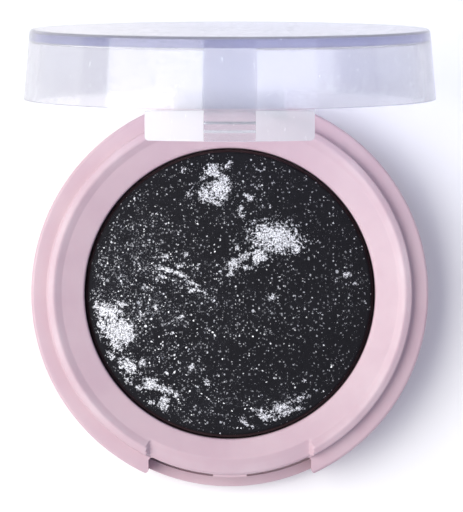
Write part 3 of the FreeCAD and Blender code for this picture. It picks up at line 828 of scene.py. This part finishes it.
def makePowder(name, look):
    material, tree = startMaterial(name)
    place = objectPlace(tree)
    cover = addNode(tree, "Attribute", attribute_name="glitterCover").outputs["Fac"]
    foil = addNode(tree, "Attribute", attribute_name="foilCover").outputs["Fac"]
    middle = (0.5, 0.5, 0.5)
    wobble = cloud(tree, place, look["tearSize"], detail=2.0, roughness=0.6)[1]
    ragged = vectorCalc(tree, "SUBTRACT", wobble, middle)
    ragged = vectorCalc(tree, "SCALE", ragged, look["tearReach"])
    torn = vectorCalc(tree, "ADD", place, ragged)
    broad = cloud(tree, place, look["patchSize"], detail=3.0, roughness=0.6)[0]
    fine = cloud(tree, place, look["fineSize"], detail=2.0, roughness=0.7)[0]
    cover = calc(tree, "MULTIPLY", cover, fit(tree, broad, 0.32, 0.68, 0.35, 1.5))
    dust = calc(tree, "MULTIPLY", fit(tree, fine, 0.35, 0.75),
                fit(tree, cover, 0.0, 0.9, 0.25, 1.0))
    base = mixColours(tree, dust, look["black"], look["grey"])
    small, medium, big = [speckLayer(tree, torn, cover, *layer) for layer in look["specks"]]
    specks = calc(tree, "MAXIMUM", calc(tree, "MAXIMUM", small, medium), big)
    crumbs = cloud(tree, torn, look["crumbSize"], detail=3.0, roughness=0.75, distortion=1.2)[0]
    limit = calc(tree, "MULTIPLY_ADD", cover, -0.075, 0.70)
    crumbs = calc(tree, "DIVIDE", calc(tree, "SUBTRACT", crumbs, limit), 0.03, clamp=True)
    specks = calc(tree, "MAXIMUM", specks, calc(tree, "MULTIPLY", crumbs, 0.9))
    flecked = cloud(tree, torn, look["foilGrain"], detail=4.0, roughness=0.68)[0]
    edge = calc(tree, "MULTIPLY_ADD", calc(tree, "SUBTRACT", flecked, 0.5), 2.3, foil)
    sheet = fit(tree, edge, 0.47, 0.53)
    grains = cells(tree, torn, look["holeCell"])
    grainLot = addNode(tree, "SeparateColor", {0: grains[1]}).outputs
    gaps = calc(tree, "LESS_THAN", grainLot[0], fit(tree, foil, 0.35, 1.0, 0.60, 0.20))
    holes = calc(tree, "MULTIPLY", gaps, fit(tree, grains[0], 0.25, 0.5, 1.0, 0.0))
    whole = calc(tree, "SUBTRACT", 1.0, calc(tree, "MULTIPLY", holes, 0.85))
    sheet = calc(tree, "MULTIPLY", sheet, whole)
    shine = fit(tree, fine, 0.36, 0.60, 0.12, 1.0)
    foilColour = mixColours(tree, shine, look["silver"], look["white"])
    base = mixColours(tree, specks, base, look["silver"])
    base = mixColours(tree, calc(tree, "MULTIPLY", sheet, shine), base, foilColour)
    silvery = calc(tree, "MAXIMUM", specks, sheet)
    rough = fit(tree, silvery, 0.0, 0.7, 0.92, 0.36)
    metal = calc(tree, "MULTIPLY", specks, calc(tree, "SUBTRACT", 0.9, sheet), clamp=True)
    # each flake of glitter lies at its own slant, so only some of them flash
    flake = cells(tree, torn, look["specks"][0][0])[1]
    slant = vectorCalc(tree, "SCALE", vectorCalc(tree, "SUBTRACT", flake, middle), look["flakeSlant"])
    relief = calc(tree, "MULTIPLY_ADD", silvery, 0.5, fine)
    normal = bumps(tree, relief, look["relief"], 0.8)
    normal = vectorCalc(tree, "ADD", normal, vectorCalc(tree, "SCALE", slant, metal))
    normal = vectorCalc(tree, "NORMALIZE", normal)
    shader = addNode(tree, "BsdfPrincipled", {
        "Base Color": base, "Roughness": rough, "Metallic": metal, "Specular IOR Level": 0.2,
        "Normal": normal})
    finishMaterial(tree, shader.outputs[0])
    return material


def dressNode(name, material):
    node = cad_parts[name]
    node.data.materials.clear()
    node.data.materials.append(material)


cake = makePowderCake(powderCake)
cake.data.materials.append(makePowder("pressedPowderFinish", powderLook))
print("powder cake:", len(cake.data.polygons), "faces")

makeDeckFrame(deckShape).data.materials.append(makePinkPlastic("framePink", pinkPlastic, 1.0))
# The shell's pink is 0.97 of the frame's: partly a real difference between the two mouldings, partly
# painted shade for its seat seen low in the front notch.
makeBaseShell(shellShape).data.materials.append(makePinkPlastic("shellPink", pinkPlastic, 0.97))
dressNode("lid", makeClearPlastic("lidClear", clearPlastic))
dressNode("baking_dish", makeFiredClay("dishClay", firedClay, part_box("baking_dish")[1].z))
dressNode("adhesive_pad", makeGluePad("padGlue", gluePad))
dressNode("underside_label", makeLabelPaper("labelPaper", labelPaper))
dressNode("hinge_pin", makePinSteel("pinSteel", pinSteel))
print("finishes given to the moulded and hidden parts")


# Table, lights, camera.

table = {"colour": (0.965, 0.96, 0.95), "size": 3.0, "drop": 0.05 * mm}


def makeTable(look):
    bpy.ops.object.select_all(action="DESELECT")
    bpy.ops.mesh.primitive_plane_add(size=look["size"], location=(0, 0, -look["drop"]))
    top = bpy.context.active_object
    top.name = "tableTop"
    material, tree = startMaterial("tableWhite")
    soft = cloud(tree, objectPlace(tree), 40 * mm, detail=2.0)[0]
    dimmer = [c * 0.985 for c in look["colour"]]
    base = mixColours(tree, fit(tree, soft, 0.3, 0.7), dimmer, look["colour"])
    shader = addNode(tree, "BsdfPrincipled", {
        "Base Color": base, "Roughness": 0.75, "Specular IOR Level": 0.2})
    finishMaterial(tree, shader.outputs[0])
    top.data.materials.append(material)


# Two soft boxes over the table, with a gap between them where the camera looks down.
# lean is the angle of the middle from straight up, reach the angle that it spans.
softBoxes = {
    "keyBox": {"side": -1, "lean": 42, "reach": 56, "away": 0.95, "long": 0.86, "glow": 4.65,
               "colour": (1.0, 0.985, 0.955)},
    "fillBox": {"side": 1, "lean": 31, "reach": 34, "away": 0.95, "long": 0.86, "glow": 1.3,
                "colour": (0.86, 0.88, 1.0)},
}


def addSoftBox(name, box, aim):
    lean = math.radians(box["lean"])
    wide = 2 * box["away"] * math.tan(math.radians(box["reach"] / 2))
    spot = aim + Vector((box["side"] * math.sin(lean), 0.0, math.cos(lean))) * box["away"]
    turn = (spot - aim).to_track_quat("Z", "Y").to_euler()
    bpy.ops.object.light_add(type="AREA", location=spot, rotation=turn)
    lamp = bpy.context.active_object
    lamp.name = name
    lamp.data.shape = "RECTANGLE"
    lamp.data.size = wide
    lamp.data.size_y = box["long"]
    if abs((lamp.matrix_world.to_3x3() @ Vector((1, 0, 0))).y) > 0.7:
        lamp.data.size, lamp.data.size_y = box["long"], wide
    lamp.data.color = box["colour"]
    lamp.data.energy = box["glow"] * math.pi * wide * box["long"]


room = {"colour": (0.70, 0.74, 1.0), "glow": 0.30}


def makeRoom(look):
    world = bpy.data.worlds.new("roomLight")
    world.use_nodes = True
    world.node_tree.nodes["Background"].inputs[0].default_value = (*look["colour"], 1.0)
    world.node_tree.nodes["Background"].inputs[1].default_value = look["glow"]
    bpy.context.scene.world = world
    bpy.context.scene.view_settings.view_transform = "Standard"


viewer = {"x": 0.22 * mm, "y": 4.9 * mm, "height": 590 * mm, "lens": 313.3, "sensor": 36.0}


def makeCamera(look):
    bpy.ops.object.camera_add(location=(look["x"], look["y"], look["height"]), rotation=(0, 0, 0))
    camera = bpy.context.active_object
    camera.name = "viewer"
    camera.data.sensor_width = look["sensor"]
    camera.data.lens = look["lens"]
    camera.data.clip_start = 0.01
    camera.data.clip_end = 10.0
    bpy.context.scene.camera = camera


makeTable(table)
for name, box in softBoxes.items():
    addSoftBox(name, box, Vector((0, 0, 0)))
makeRoom(room)
makeCamera(viewer)
print("table, lights and camera in place")
